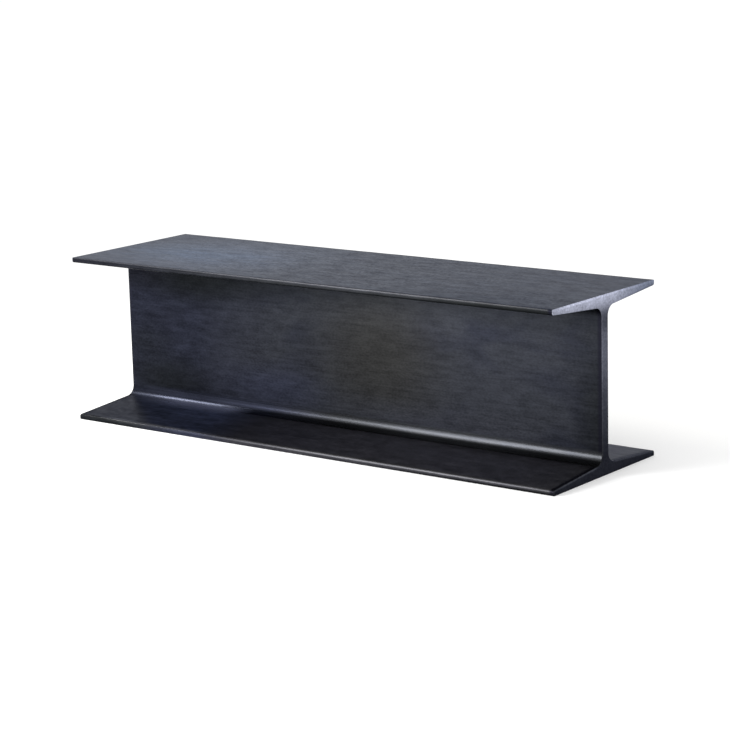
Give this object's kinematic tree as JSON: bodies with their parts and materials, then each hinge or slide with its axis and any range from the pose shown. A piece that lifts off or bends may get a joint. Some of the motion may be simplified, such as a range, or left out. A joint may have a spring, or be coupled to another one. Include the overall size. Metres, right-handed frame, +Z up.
{
  "type": "steel i-beam",
  "caption": "Cut length of heavy wide-flange rolled steel beam with tapered flanges, root fillets and sawn ends, lying on its lower flange.",
  "frame": {"origin": "middle of the underside of the lower flange", "axes": "+X along the beam's length, +Y across the flanges, +Z up through the web from the lower flange to the upper"},
  "size_m": [1.2192, 0.3682, 0.3556],
  "materials": {
    "blackened_steel": "dark blackened mill finish under a thin satin wax, lighter where the ends are sawn and the edges eased"
  },
  "bodies": {
    "root": {"i_beam": "blackened_steel"}
  },
  "joints": []
}
